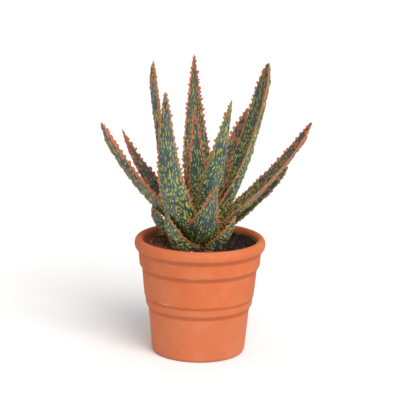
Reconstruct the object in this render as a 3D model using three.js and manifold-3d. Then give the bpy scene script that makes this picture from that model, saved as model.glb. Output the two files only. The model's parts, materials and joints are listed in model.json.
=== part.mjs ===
// A spotted aloe growing in a round clay pot.
// Millimetres, +Z up. The origin is the centre of the pot's flat foot, on the surface it stands on.
// +X is the plant's right, -Y is its front.
import * as THREE from 'three';
import { mergeVertices } from 'three/addons/utils/BufferGeometryUtils.js';
import Module from 'manifold-3d';

const wasm = await Module();
wasm.setup();

// Pot: overall sizes
const potHeight = 107.4;
const rimRadius = 60;
const footRadius = 43;
const potWall = 4.5;
const floorThickness = 6;

// Pot: the bands of the outside, from the foot up
const footRounding = 4;
const lowerWallTop = 41.5;
const beltStepHeight = 4;
const beltStepOut = 2;
const beltHeight = 6;
const upperStepHeight = 2.5;
const upperStepOut = 0.8;
const collarHeight = 12.3;
const collarStepHeight = 4;
const collarStepOut = 2;

// Pot: the rolled rim
const rimRoll = {
  height: 12.6,
  overhang: 3.7,
  crestInset: 3.7,
  mouthInset: 8,
  middle: 0.55,       // share of its height where it is widest
  outerStart: -55,    // degrees, where the outer round begins under the rim
  innerStart: 112,    // degrees, where the crest turns down into the mouth
};

// Pot: drain holes, on a circle round a solid middle
const drainHoleCount = 3;
const drainHoleRadius = 5;
const drainCircleRadius = 18;

// What is in the pot
const clearance = 0.3;
const wateringSpace = 6.4;
const soilCrown = 0.6;
const stemRadius = 11;
const stemHeight = 26;
const stemDepth = 14;

// The stem's outline: share of its radius, then share of its depth or of its height
const stemBelowSoil = [[0.6, 0.9], [0.85, 0.57], [1, 0]];
const stemAboveSoil = [[0.8, 0.4], [0.45, 0.8]];

// How finely the round pieces and the leaves are divided
const roundSegments = 56;
const leafRingSpacing = 13;
const pathStepsPerRing = 8;

const soilLevel = potHeight - wateringSpace;
const radians = THREE.MathUtils.degToRad;

// ---------------------------------------------------------------- solids

// A closed geometry as a solid: positions only, shared vertices merged, no empty triangles.
function toSolid(geometry) {
  geometry.deleteAttribute('normal');
  geometry.deleteAttribute('uv');
  const merged = mergeVertices(geometry, 1e-4);
  const corners = merged.index.array;
  const kept = [];
  for (let i = 0; i < corners.length; i += 3) {
    const [a, b, c] = [corners[i], corners[i + 1], corners[i + 2]];
    if (a !== b && b !== c && c !== a) kept.push(a, b, c);
  }
  return new wasm.Manifold(new wasm.Mesh({
    numProp: 3,
    vertProperties: new Float32Array(merged.attributes.position.array),
    triVerts: new Uint32Array(kept),
  }));
}

function toGeometry(solid) {
  const mesh = solid.getMesh();
  const geometry = new THREE.BufferGeometry();
  geometry.setAttribute('position', new THREE.BufferAttribute(new Float32Array(mesh.vertProperties), 3));
  geometry.setIndex(new THREE.BufferAttribute(new Uint32Array(mesh.triVerts), 1));
  geometry.computeVertexNormals();
  return geometry;
}

// Cutting one leaf by another can leave a loose crumb behind: the leaf is the largest part.
function largestPart(solid) {
  const parts = solid.decompose();
  return parts.reduce((best, part) => (part.volume() > best.volume() ? part : best));
}

function turned(profile) {
  const points = profile.map(([radius, height]) => new THREE.Vector2(radius, height));
  const geometry = new THREE.LatheGeometry(points, roundSegments);
  geometry.rotateX(Math.PI / 2);
  return toSolid(geometry);
}

// ---------------------------------------------------------------- pot

const rimBottom = potHeight - rimRoll.height;
const collarBottom = rimBottom - collarHeight;
const collarRadius = rimRadius - rimRoll.overhang;
const stepsOut = beltStepOut + upperStepOut + collarStepOut;
const wallTaper = (collarRadius - stepsOut - footRadius) / (rimBottom - footRounding);
const mouthRadius = rimRadius - rimRoll.mouthInset;
const innerFootRadius = footRadius - potWall;
const mouthLip = potHeight - potWall;

function wallRadius(height, stepOut) {
  return footRadius + wallTaper * (height - footRounding) + stepOut;
}

// The inside of the pot is one straight taper from the floor to the mouth.
function innerRadius(height) {
  const along = (height - floorThickness) / (mouthLip - floorThickness);
  return innerFootRadius + (mouthRadius - innerFootRadius) * along;
}

function arcPoints(centre, radii, fromDegrees, toDegrees, steps) {
  const points = [];
  for (let i = 0; i <= steps; i++) {
    const angle = radians(fromDegrees + ((toDegrees - fromDegrees) * i) / steps);
    points.push([centre[0] + radii[0] * Math.cos(angle), centre[1] + radii[1] * Math.sin(angle)]);
  }
  return points;
}

function makePot() {
  const beltBottom = lowerWallTop + beltStepHeight;
  const beltTop = beltBottom + beltHeight;
  const upperBottom = beltTop + upperStepHeight;
  const upperTop = collarBottom - collarStepHeight;
  const upperOut = beltStepOut + upperStepOut;
  const rimMiddle = rimBottom + rimRoll.height * rimRoll.middle;
  const crestRadius = rimRadius - rimRoll.crestInset;
  const outside = [
    ...arcPoints([footRadius - footRounding, footRounding], [footRounding, footRounding], -90, 0, 3),
    [wallRadius(lowerWallTop, 0), lowerWallTop],
    [wallRadius(beltBottom, beltStepOut), beltBottom],
    [wallRadius(beltTop, beltStepOut), beltTop],
    [wallRadius(upperBottom, upperOut), upperBottom],
    [wallRadius(upperTop, upperOut), upperTop],
    [wallRadius(collarBottom, stepsOut), collarBottom],
    [collarRadius, rimBottom],
  ];
  const rollOuter = arcPoints([crestRadius, rimMiddle],
    [rimRoll.crestInset, potHeight - rimMiddle], rimRoll.outerStart, 90, 6);
  const rollInner = arcPoints([crestRadius, mouthLip],
    [crestRadius - mouthRadius, potHeight - mouthLip], rimRoll.innerStart, 180, 3);
  const inside = [
    [innerFootRadius, floorThickness],
    [0, floorThickness],
  ];
  let pot = turned([[0, 0], ...outside, ...rollOuter, ...rollInner, ...inside]);
  for (let i = 0; i < drainHoleCount; i++) {
    const angle = radians(90 + (360 * i) / drainHoleCount);
    const hole = new THREE.CylinderGeometry(drainHoleRadius, drainHoleRadius, floorThickness * 3, 20);
    hole.rotateX(Math.PI / 2);
    hole.translate(drainCircleRadius * Math.cos(angle), drainCircleRadius * Math.sin(angle), 0);
    pot = pot.subtract(toSolid(hole));
  }
  return pot;
}

// ---------------------------------------------------------------- soil and stem

// Height of the soil's top at a distance from the axis: a low crown round the stem.
function soilTop(radius) {
  const along = radius / innerRadius(soilLevel);
  return soilLevel + soilCrown * Math.cos(along * Math.PI * 0.5);
}

function makeSoil() {
  const bottom = floorThickness + clearance;
  const top = innerRadius(soilLevel) - clearance;
  const profile = [[0, bottom], [innerRadius(bottom) - clearance, bottom], [top, soilLevel]];
  for (const share of [0.8, 0.6, 0.4, 0.2, 0]) {
    profile.push([top * share, soilTop(top * share)]);
  }
  return turned(profile);
}

// The short thick stem that the leaves clasp, rounded below in the soil and pointed at the growing tip.
function makeStem(grow) {
  const below = stemBelowSoil.map(([across, down]) => [across, -stemDepth * down]);
  const above = stemAboveSoil.map(([across, up]) => [across, stemHeight * up]);
  const sides = [...below, ...above].map(([across, height]) => {
    return [stemRadius * across + grow, soilLevel + height];
  });
  const bottom = soilLevel - stemDepth - grow;
  const top = soilLevel + stemHeight + grow;
  return turned([[0, bottom], ...sides, [0, top]]);
}

// ---------------------------------------------------------------- leaves

// One entry a leaf, from the oldest outside to the youngest in the heart.
//   turn: where it points, degrees from +X    rise, reach: its base, above the soil and off the axis
//   lift: slope at the base and at the tip    curl: how early the slope changes, 1 is evenly
//   swing: how far it turns sideways          twist: roll about its own length, at the base and at the tip
//   cup: depth of its channel                 taper: width gained for each millimetre from the tip
//   point: 1 tapers straight to the tip, less makes a fuller tip
const usualLeaf = { curl: 1, swing: 0, twist: [0, 0], cup: 0.45, taper: 0.28, point: 0.92 };
const leaves = [
  { name: 'basal_leaf_scale', turn: 236, rise: 0, reach: 24, lift: [0, 35],
    length: 17, width: 11, thick: 4, swing: -60, taper: 0.8 },
  { name: 'basal_leaf_left', turn: 194, rise: 3, reach: 14, lift: [15, 74], curl: 1.2,
    length: 48, width: 22, thick: 5, twist: [20, 35], taper: 0.6, point: 0.7 },
  { name: 'basal_leaf_front_right', turn: 310, rise: 0, reach: 22, lift: [42, 66],
    length: 43, width: 19, thick: 6, swing: 10, taper: 0.6, cup: 0.6 },
  { name: 'basal_leaf_front_left', turn: 233, rise: 0, reach: 19, lift: [22, 88], curl: 1.3,
    length: 49, width: 42, thick: 7, swing: -55, taper: 0.9, cup: 0.7 },
  { name: 'basal_leaf_back', turn: 100, rise: 3, reach: 11, lift: [15, 55],
    length: 52, width: 20, thick: 5, taper: 0.4 },
  { name: 'low_leaf_right', turn: 20, rise: 7, reach: 8, lift: [27, 52], curl: 0.8,
    length: 99, width: 18, thick: 5, twist: [20, 15], point: 0.65 },
  { name: 'low_leaf_back_left', turn: 125, rise: 7, reach: 8, lift: [25, 58],
    length: 74, width: 20, thick: 5 },
  { name: 'low_leaf_back_right', turn: 75, rise: 9, reach: 7, lift: [30, 60],
    length: 84, width: 22, thick: 5 },
  { name: 'side_leaf_right', turn: 355, rise: 11, reach: 6, lift: [37, 63], curl: 0.8,
    length: 141, width: 22, thick: 6, twist: [12, 25], cup: 0.5, point: 0.55 },
  { name: 'side_leaf_left', turn: 190, rise: 11, reach: 8, lift: [37, 68], curl: 0.8,
    length: 133, width: 22, thick: 6, swing: -4, twist: [-6, 32], cup: 0.5, point: 0.55 },
  { name: 'short_leaf_front', turn: 275, rise: 8, reach: 12, lift: [35, 56],
    length: 85, width: 34, thick: 7, swing: 16, taper: 0.36 },
  { name: 'side_leaf_back_left', turn: 152, rise: 13, reach: 6, lift: [33, 68], curl: 0.7,
    length: 117, width: 18, thick: 4, twist: [-30, -20] },
  { name: 'broad_leaf_front_left', turn: 240, rise: 13, reach: 8, lift: [20, 88], curl: 2.5,
    length: 153, width: 28, thick: 7, swing: -12, twist: [15, 35], point: 0.78 },
  { name: 'narrow_leaf_back_right', turn: 68, rise: 15, reach: 5, lift: [44, 54],
    length: 131, width: 19, thick: 5, swing: -15, point: 0.7 },
  { name: 'broad_leaf_right', turn: 42, rise: 15, reach: 4, lift: [35, 75], curl: 2,
    length: 168, width: 36, thick: 8, cup: 0.6, twist: [-26, -14], point: 0.52 },
  { name: 'tall_leaf_left', turn: 170, rise: 19, reach: 4, lift: [39, 84], curl: 3.5,
    length: 157, width: 22, thick: 7, twist: [6, 12], point: 0.5 },
  { name: 'upright_leaf_front_right', turn: 299, rise: 21, reach: 4, lift: [65, 70], curl: 1.5,
    length: 129, width: 21, thick: 6 },
  { name: 'tall_leaf_back', turn: 95, rise: 23, reach: 3, lift: [35, 90],
    length: 165, width: 27, thick: 5, swing: 5 },
  { name: 'heart_leaf_large', turn: 110, rise: 25, reach: 2, lift: [75, 82],
    length: 98, width: 20, thick: 4 },
  { name: 'heart_leaf_small', turn: 150, rise: 27, reach: 2, lift: [55, 88], curl: 2.5,
    length: 68, width: 12, thick: 4 },
];

// How every leaf's width and thickness change along it
const leafForm = {
  shoulder: [0.12, 0.6],    // least and most share of the length at which it starts to taper
  baseNarrowing: 0.1,       // how much narrower the base is than the shoulder
  tipThickness: 0.45,       // thickness toward the tip, as a share of the thickness at the base
  thinning: 0.8,
  tipRounding: 0.06,        // share of the length in which the tip closes
  cupLoss: 0.5,             // how much shallower the channel is at the tip
  marginRoundness: 2.2,     // more makes the faces fuller near the margins
  outerDepth: 0.5,          // share of the thickness outside the middle surface, and inside it
  innerDepth: 0.3,
  marginTuck: 0.18,         // how far a cupped leaf draws its margins in
  channelLevel: 0.35,       // height of the middle line over the channel's floor, as a share of the cup
};

// Across the leaf, -1 is one margin and 1 the other: five points on the outer face, three on the inner.
const outerFaceShares = [-1, -0.5, 0, 0.5, 1];
const innerFaceShares = [0.5, 0, -0.5];
const ringSize = outerFaceShares.length + innerFaceShares.length;
const baseCap = [[0, 7, 1], [1, 7, 6], [1, 6, 2], [2, 6, 5], [2, 5, 3], [3, 5, 4]];

function leafWidth(leaf, s) {
  const straight = 1 - leaf.width / (leaf.taper * leaf.length);
  const shoulder = THREE.MathUtils.clamp(straight, ...leafForm.shoulder);
  if (s < shoulder) return leaf.width * (1 - leafForm.baseNarrowing * (1 - s / shoulder) ** 2);
  return leaf.width * ((1 - s) / (1 - shoulder)) ** leaf.point;
}

function leafThickness(leaf, s) {
  const closing = Math.min(1, Math.sqrt((1 - s) / leafForm.tipRounding));
  const share = leafForm.tipThickness + (1 - leafForm.tipThickness) * (1 - s) ** leafForm.thinning;
  return leaf.thick * share * closing;
}

// The leaf's middle line with, at each ring, the direction across it and the way its inner face looks.
function leafPath(leaf) {
  const rings = Math.max(5, Math.round(leaf.length / leafRingSpacing));
  const steps = rings * pathStepsPerRing;
  const start = radians(leaf.turn);
  const point = new THREE.Vector3(leaf.reach * Math.cos(start), leaf.reach * Math.sin(start),
    soilLevel + leaf.rise);
  const heading = (s) => {
    const slope = radians(leaf.lift[0] + (leaf.lift[1] - leaf.lift[0]) * (1 - (1 - s) ** leaf.curl));
    const turn = radians(leaf.turn + leaf.swing * s);
    return {
      along: new THREE.Vector3(Math.cos(slope) * Math.cos(turn), Math.cos(slope) * Math.sin(turn),
        Math.sin(slope)),
      level: new THREE.Vector3(-Math.sin(turn), Math.cos(turn), 0),
    };
  };
  const stations = [];
  for (let i = 0; i <= steps; i++) {
    const s = i / steps;
    if (i % pathStepsPerRing === 0) {
      const { along, level } = heading(s);
      const twist = radians(leaf.twist[0] + (leaf.twist[1] - leaf.twist[0]) * s);
      const across = level.applyAxisAngle(along, twist);
      const inward = new THREE.Vector3().crossVectors(along, across);
      stations.push({ s, point: point.clone(), along, across, inward });
    }
    point.addScaledVector(heading(s + 0.5 / steps).along, leaf.length / steps);
  }
  return stations;
}

// The section at one station, a crescent with sharp margins, as points in the plane across the leaf.
function leafSection(leaf, s, grow) {
  const half = leafWidth(leaf, s) / 2;
  const thick = leafThickness(leaf, s);
  const cup = leaf.cup * (1 - leafForm.cupLoss * s) * half;
  const section = [];
  const addPoint = (share, depth) => {
    const x = half * share * (1 - leafForm.marginTuck * leaf.cup * share ** 2);
    const bow = cup * (share ** 2 - leafForm.channelLevel);
    const y = bow + depth * thick * (1 - Math.abs(share) ** leafForm.marginRoundness);
    section.push(new THREE.Vector2(x, y));
  };
  for (const share of outerFaceShares) addPoint(share, -leafForm.outerDepth);
  for (const share of innerFaceShares) addPoint(share, leafForm.innerDepth);
  if (grow === 0) return section;
  return section.map((corner, i) => {
    const before = section[(i + ringSize - 1) % ringSize];
    const after = section[(i + 1) % ringSize];
    const edgeIn = corner.clone().sub(before).normalize();
    const edgeOut = after.clone().sub(corner).normalize();
    const outward = new THREE.Vector2(edgeIn.y + edgeOut.y, -edgeIn.x - edgeOut.x).normalize();
    return corner.clone().addScaledVector(outward, grow);
  });
}

// A leaf as a closed solid. With grow it is that much fatter all round, to cut room for itself.
function makeLeaf(leaf, grow) {
  const stations = leafPath(leaf);
  const tip = stations.pop();
  const positions = [];
  stations.forEach((station, ring) => {
    const back = ring === 0 ? grow : 0;
    for (const corner of leafSection(leaf, station.s, grow)) {
      const place = station.point.clone()
        .addScaledVector(station.across, corner.x)
        .addScaledVector(station.inward, corner.y)
        .addScaledVector(station.along, -back);
      positions.push(...place.toArray());
    }
  });
  positions.push(...tip.point.clone().addScaledVector(tip.along, grow * 3).toArray());
  const triangles = baseCap.flat();
  for (let ring = 0; ring + 1 < stations.length; ring++) {
    for (let i = 0; i < ringSize; i++) {
      const a = ring * ringSize + i;
      const b = ring * ringSize + ((i + 1) % ringSize);
      triangles.push(a, b, b + ringSize, a, b + ringSize, a + ringSize);
    }
  }
  const last = (stations.length - 1) * ringSize;
  for (let i = 0; i < ringSize; i++) {
    triangles.push(last + i, last + ((i + 1) % ringSize), stations.length * ringSize);
  }
  const geometry = new THREE.BufferGeometry();
  geometry.setAttribute('position', new THREE.BufferAttribute(new Float32Array(positions), 3));
  geometry.setIndex(triangles);
  return toSolid(geometry);
}

// ---------------------------------------------------------------- chips on the soil

// around, out: where it lies on the soil, degrees from +X and share of the soil's radius
const chipSwell = 0.12;
const chips = [
  { name: 'bark_chip', around: 149, out: 0.8, halfSize: [3.2, 2.2, 1.6], turn: 25, colour: '#a98a63' },
  { name: 'perlite_grain', around: 260, out: 0.8, halfSize: [1.8, 1.5, 1.2], turn: 70, colour: '#e4ded0' },
];

// A small stone or grain: a rounded lump pulled out of true by a slow wave.
function makeChip(chip) {
  const geometry = new THREE.IcosahedronGeometry(1, 2);
  const place = geometry.attributes.position;
  const point = new THREE.Vector3();
  for (let i = 0; i < place.count; i++) {
    point.fromBufferAttribute(place, i);
    const swell = 1 + chipSwell * Math.sin(3 * point.x + chip.turn) * Math.cos(2 * point.y - chip.turn);
    point.multiplyScalar(swell);
    place.setXYZ(i, point.x, point.y, point.z);
  }
  geometry.scale(...chip.halfSize);
  geometry.rotateZ(radians(chip.turn));
  const distance = chip.out * innerRadius(soilLevel);
  const angle = radians(chip.around);
  const height = soilTop(distance) + chip.halfSize[2] * (1 + chipSwell) + clearance;
  geometry.translate(distance * Math.cos(angle), distance * Math.sin(angle), height);
  return toSolid(geometry);
}

// ---------------------------------------------------------------- assembly

const plant = new THREE.Group();

function addPiece(name, solid, colour, roughness) {
  const material = new THREE.MeshStandardMaterial({ color: colour, roughness, metalness: 0 });
  const mesh = new THREE.Mesh(toGeometry(solid), material);
  mesh.name = name;
  plant.add(mesh);
}

addPiece('pot', makePot(), '#cb7754', 0.85);
addPiece('stem', makeStem(0), '#6f7a45', 0.8);

// Every leaf gives way to the stem and to the older leaves that clasp it.
let taken = makeStem(clearance);
for (const entry of leaves) {
  const leaf = { ...usualLeaf, ...entry };
  const solid = largestPart(makeLeaf(leaf, 0).subtract(taken));
  addPiece(leaf.name, solid, '#4f666a', 0.5);
  taken = taken.add(makeLeaf(leaf, clearance));
}

addPiece('soil', largestPart(makeSoil().subtract(taken)), '#3a2a20', 1);

for (const chip of chips) {
  addPiece(chip.name, makeChip(chip), chip.colour, 0.9);
}

export default plant;
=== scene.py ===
import bmesh
import bpy
import json
import math
import random
import numpy as np
from mathutils import Matrix, Vector, noise


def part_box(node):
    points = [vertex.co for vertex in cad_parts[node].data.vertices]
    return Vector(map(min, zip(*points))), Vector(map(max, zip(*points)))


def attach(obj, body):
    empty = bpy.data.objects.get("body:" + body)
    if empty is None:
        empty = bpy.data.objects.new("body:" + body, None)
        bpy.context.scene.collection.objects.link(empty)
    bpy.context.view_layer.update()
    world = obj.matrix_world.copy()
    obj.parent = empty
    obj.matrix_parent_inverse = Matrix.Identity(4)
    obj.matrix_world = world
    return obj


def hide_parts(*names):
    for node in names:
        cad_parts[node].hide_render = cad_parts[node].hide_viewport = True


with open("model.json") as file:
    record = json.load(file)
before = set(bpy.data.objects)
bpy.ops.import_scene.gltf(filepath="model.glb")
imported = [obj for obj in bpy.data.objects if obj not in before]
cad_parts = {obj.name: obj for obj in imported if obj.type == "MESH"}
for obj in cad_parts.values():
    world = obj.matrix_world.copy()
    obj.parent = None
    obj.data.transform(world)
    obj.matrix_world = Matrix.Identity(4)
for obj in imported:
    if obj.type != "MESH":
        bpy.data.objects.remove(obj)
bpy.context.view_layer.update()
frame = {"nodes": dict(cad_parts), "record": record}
mm = 0.001
sameCorner = 0.01 * mm        # corners closer than this are one
print("frame loaded:", len(frame["nodes"]), "nodes")


# sRGB hex to the linear colour that Blender works in
def linear(hexColour):
    parts = [int(hexColour[i:i + 2], 16) / 255 for i in (1, 3, 5)]
    return [c / 12.92 if c <= 0.04045 else ((c + 0.055) / 1.055) ** 2.4 for c in parts] + [1.0]


# a node with its settings, and its inputs as values or as links from other nodes' outputs
def addNode(tree, kind, inputs=None, **settings):
    node = tree.nodes.new(kind)
    for name, value in settings.items():
        setattr(node, name, value)
    for name, value in (inputs or {}).items():
        if isinstance(value, bpy.types.NodeSocket):
            tree.links.new(value, node.inputs[name])
        else:
            node.inputs[name].default_value = value
    return node


def newMaterial(name):
    material = bpy.data.materials.new(name)
    material.use_nodes = True
    tree = material.node_tree
    tree.nodes.clear()
    shader = addNode(tree, "ShaderNodeBsdfPrincipled")
    addNode(tree, "ShaderNodeOutputMaterial", {"Surface": shader.outputs["BSDF"]})
    return material, tree, shader


# a mesh object from points, faces and one number a point for each named attribute
def makePiece(name, points, faces, material, numbers=None):
    mesh = bpy.data.meshes.new(name)
    mesh.from_pydata([tuple(p) for p in points], [], [tuple(int(i) for i in f) for f in faces])
    for label, values in (numbers or {}).items():
        layer = mesh.attributes.new(label, "FLOAT", "POINT")
        layer.data.foreach_set("value", np.ascontiguousarray(values, dtype=np.float32))
    mesh.materials.append(material)
    mesh.shade_smooth()
    mesh.update()
    piece = bpy.data.objects.new(name, mesh)
    bpy.context.scene.collection.objects.link(piece)
    return piece


def standIn(piece, node):
    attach(piece, "root")
    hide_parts(node)
    return piece


# the solid's corners with doubles merged, and each corner's neighbours
def weldedSolid(node):
    mesh = frame["nodes"][node].data
    corners, numberOf, faces = [], {}, []
    for polygon in mesh.polygons:
        face = []
        for v in polygon.vertices:
            place = mesh.vertices[v].co
            key = tuple(round(c / sameCorner) for c in place)
            if key not in numberOf:
                numberOf[key] = len(corners)
                corners.append(np.array(place))
            face.append(numberOf[key])
        faces.append(face)
    near = [set() for _ in corners]
    for face in faces:
        for a, b in zip(face, face[1:] + face[:1]):
            near[a].add(b)
            near[b].add(a)
    return corners, near


# A plain studio: bright all round, with a soft sun from above, in front and to the right, and a softbox
# lower down on the same side.
stageLook = {
    "floorSize": 24.0,
    "floorColour": "#f8f7f6",
    "floorPale": "#ffffff",
    "floorMottle": 40 * mm,
    "floorRoughness": 0.9,
    "worldColour": "#ffffff",
    "worldStrength": 0.55,
    "keyFrom": (0.48, -0.95, 1.35),
    "keyStrength": 2.15,
    "keySpread": 40,             # degrees
    "boxFrom": (0.75, -1.2, 0.75),
    "boxSize": 0.9,
    "boxPower": 4.0,
}


def makeStage():
    material, tree, shader = newMaterial("matt painted board")
    grain = addNode(tree, "ShaderNodeTexNoise", {
        "Scale": 1 / stageLook["floorMottle"], "Detail": 2.0})
    tone = addNode(tree, "ShaderNodeMix", {
        "Factor": grain.outputs["Fac"],
        "A": linear(stageLook["floorColour"]), "B": linear(stageLook["floorPale"])}, data_type="RGBA")
    tree.links.new(tone.outputs["Result"], shader.inputs["Base Color"])
    shader.inputs["Roughness"].default_value = stageLook["floorRoughness"]
    half = stageLook["floorSize"] / 2
    floor = makePiece("floor", [(-half, -half, 0), (half, -half, 0), (half, half, 0), (-half, half, 0)],
                      [(0, 1, 2, 3)], material)

    world = bpy.data.worlds.new("studio")
    bpy.context.scene.world = world
    world.use_nodes = True
    background = world.node_tree.nodes["Background"]
    background.inputs["Color"].default_value = linear(stageLook["worldColour"])
    background.inputs["Strength"].default_value = stageLook["worldStrength"]

    key = bpy.data.lights.new("key", "SUN")
    key.energy = stageLook["keyStrength"]
    key.angle = math.radians(stageLook["keySpread"])
    box = bpy.data.lights.new("softbox", "AREA")
    box.energy = stageLook["boxPower"]
    box.size = stageLook["boxSize"]
    for light, place in ((key, stageLook["keyFrom"]), (box, stageLook["boxFrom"])):
        lamp = bpy.data.objects.new(light.name, light)
        lamp.location = place
        aim = Vector((0, 0, cameraLook["aimHeight"])) - lamp.location
        lamp.rotation_euler = aim.to_track_quat("-Z", "Y").to_euler()
        bpy.context.scene.collection.objects.link(lamp)
    bpy.context.scene.view_settings.view_transform = "Standard"


cameraLook = {
    "distance": 1.4,
    "height": 0.462,
    "aimHeight": 0.1418,
    "aimAcross": -0.0007,
    "sensorWidth": 36.0,         # millimetres, as the lens is
    "lens": 142.0,
    "roll": 1.06,                # degrees
}


def makeCamera():
    data = bpy.data.cameras.new("camera")
    data.sensor_width = cameraLook["sensorWidth"]
    data.lens = cameraLook["lens"]
    camera = bpy.data.objects.new("camera", data)
    place = Vector((0, -cameraLook["distance"], cameraLook["height"]))
    aim = Vector((cameraLook["aimAcross"], 0, cameraLook["aimHeight"]))
    turn = (aim - place).to_track_quat("-Z", "Y").to_matrix().to_4x4()
    roll = Matrix.Rotation(math.radians(cameraLook["roll"]), 4, "Z")
    camera.matrix_world = Matrix.Translation(place) @ turn @ roll
    bpy.context.scene.collection.objects.link(camera)
    bpy.context.scene.camera = camera


makeStage()
makeCamera()
print("stage and camera set")


# Unglazed terracotta, pressed in a mould and fired: matt, even orange, with a pink lime bloom,
# faint darker firing marks and pores that break up the light.
clayLook = {
    "body": "#c96635",
    "warm": "#b95a30",
    "bloom": "#cf7e58",
    "lime": "#e0b094",
    "sheltered": "#9c4210",      # painted shade under a ledge: a deeper, cleaner orange
    "shelteredShare": 0.5,
    "bloomSize": 26 * mm,
    "saltHeight": 65 * mm,
    "grainSize": 0.9 * mm,
    "poreSize": 2.6 * mm,
    "roughness": 0.82,
    "ior": 1.5,
}


def firedTerracotta():
    material, tree, shader = newMaterial("terracotta, pressed and fired")
    place = addNode(tree, "ShaderNodeTexCoord").outputs["Object"]
    cloud = addNode(tree, "ShaderNodeTexNoise", {
        "Vector": place, "Scale": 1 / clayLook["bloomSize"], "Detail": 4.0, "Roughness": 0.6})
    cloudShare = addNode(tree, "ShaderNodeMapRange", {
        "Value": cloud.outputs["Fac"], "From Min": 0.4, "From Max": 0.72, "To Max": 0.55})
    # the lower half is paler and pinker
    height = addNode(tree, "ShaderNodeSeparateXYZ", {"Vector": place}).outputs["Z"]
    lowShare = addNode(tree, "ShaderNodeMapRange", {
        "Value": height, "From Min": 0.0, "From Max": clayLook["saltHeight"],
        "To Min": 0.45, "To Max": 0.0})
    paleShare = addNode(tree, "ShaderNodeMath", {
        0: cloudShare.outputs["Result"], 1: lowShare.outputs["Result"]}, operation="ADD", use_clamp=True)
    body = addNode(tree, "ShaderNodeMix", {
        "Factor": paleShare.outputs["Value"],
        "A": linear(clayLook["body"]), "B": linear(clayLook["bloom"])}, data_type="RGBA")
    fire = addNode(tree, "ShaderNodeTexNoise", {
        "Vector": place, "Scale": 0.4 / clayLook["bloomSize"], "Detail": 2.0, "Roughness": 0.5})
    fireShare = addNode(tree, "ShaderNodeMapRange", {
        "Value": fire.outputs["Fac"], "From Min": 0.45, "From Max": 0.7, "To Max": 0.5})
    fired = addNode(tree, "ShaderNodeMix", {
        "Factor": fireShare.outputs["Result"],
        "A": body.outputs["Result"], "B": linear(clayLook["warm"])}, data_type="RGBA")
    # painted shade: the clay is darkened under each ledge, as if in its shadow
    sheltered = addNode(tree, "ShaderNodeAttribute", attribute_name="sheltered")
    shelteredShare = addNode(tree, "ShaderNodeMath", {
        0: sheltered.outputs["Fac"], 1: clayLook["shelteredShare"]}, operation="MULTIPLY")
    shaded = addNode(tree, "ShaderNodeMix", {
        "Factor": shelteredShare.outputs["Value"],
        "A": fired.outputs["Result"], "B": linear(clayLook["sheltered"])}, data_type="RGBA")
    # lime that water leaves as it dries: on ledges and in patches, strongest where the clay is worn
    limeSpots = addNode(tree, "ShaderNodeTexNoise", {
        "Vector": place, "Scale": 2.2 / clayLook["bloomSize"], "Detail": 6.0, "Roughness": 0.75})
    worn = addNode(tree, "ShaderNodeAttribute", attribute_name="worn")
    limeAmount = addNode(tree, "ShaderNodeMath", {
        0: limeSpots.outputs["Fac"], 1: worn.outputs["Fac"]}, operation="MULTIPLY")
    limeShare = addNode(tree, "ShaderNodeMapRange", {
        "Value": limeAmount.outputs["Value"], "From Min": 0.36, "From Max": 0.62, "To Max": 0.5})
    limed = addNode(tree, "ShaderNodeMix", {
        "Factor": limeShare.outputs["Result"],
        "A": shaded.outputs["Result"], "B": linear(clayLook["lime"])}, data_type="RGBA")
    grain = addNode(tree, "ShaderNodeTexNoise", {
        "Vector": place, "Scale": 1 / clayLook["grainSize"], "Detail": 3.0, "Roughness": 0.6})
    grainTone = addNode(tree, "ShaderNodeMapRange", {
        "Value": grain.outputs["Fac"], "From Min": 0.3, "From Max": 0.7, "To Min": 0.93, "To Max": 1.05})
    grained = addNode(tree, "ShaderNodeMix", {
        "Factor": 1.0, "A": limed.outputs["Result"], "B": grainTone.outputs["Result"]},
        data_type="RGBA", blend_type="MULTIPLY")
    pores = addNode(tree, "ShaderNodeTexVoronoi", {"Vector": place, "Scale": 1 / clayLook["poreSize"]})
    poreDepth = addNode(tree, "ShaderNodeMapRange", {
        "Value": pores.outputs["Distance"], "From Min": 0.04, "From Max": 0.13})
    surface = addNode(tree, "ShaderNodeMath", {
        0: poreDepth.outputs["Result"], 1: grain.outputs["Fac"]}, operation="ADD")
    bump = addNode(tree, "ShaderNodeBump", {
        "Height": surface.outputs["Value"], "Strength": 0.25, "Distance": 0.12 * mm})
    tree.links.new(grained.outputs["Result"], shader.inputs["Base Color"])
    tree.links.new(bump.outputs["Normal"], shader.inputs["Normal"])
    shader.inputs["Roughness"].default_value = clayLook["roughness"]
    shader.inputs["IOR"].default_value = clayLook["ior"]
    return material


potLook = {
    "turns": 288,                # facets round the pot
    "edgeRounding": 1.0 * mm,
    "roundingSteps": 5,
    "longestStep": 0.8 * mm,
    "wobble": 0.12 * mm,         # how far the wall is out of true
    "wobbleLength": 70 * mm,
    "rippleLength": 18 * mm,
    "ripple": 0.4,               # share of the wobble
    "holeFacets": 48,
    "holeSize": 1.1,             # a drain hole's radius over half the diagonal of the box that fits in it
    "cutterSpare": 5 * mm,
    "ledgeSlope": 0.25,          # least run over rise that makes a stretch of the outline a ledge
    "streakHeight": 0.49,        # share of the pot's height
    "streakWidth": 1.6 * mm,
    "streakMiddle": 128,         # degrees round from +X by the front
    "streakSpan": 22,
    "streakStrength": 1.3,
    "footLime": 0.75,            # strength at the foot, and how high it reaches
    "footLimeHeight": 30 * mm,
    "shelterReach": 0.4 * mm,
    "shelterShare": 0.5,         # how far down the painted shade under a ledge reaches, as a share of its width
    "shelterInside": 0.9,        # least radius that gets the painted shade, as a share of the wall's
    "bareEdge": 0.2,             # share of the ledge's width at its edge that gets no painted shade
    "lowestLedge": 15 * mm,
}


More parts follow.
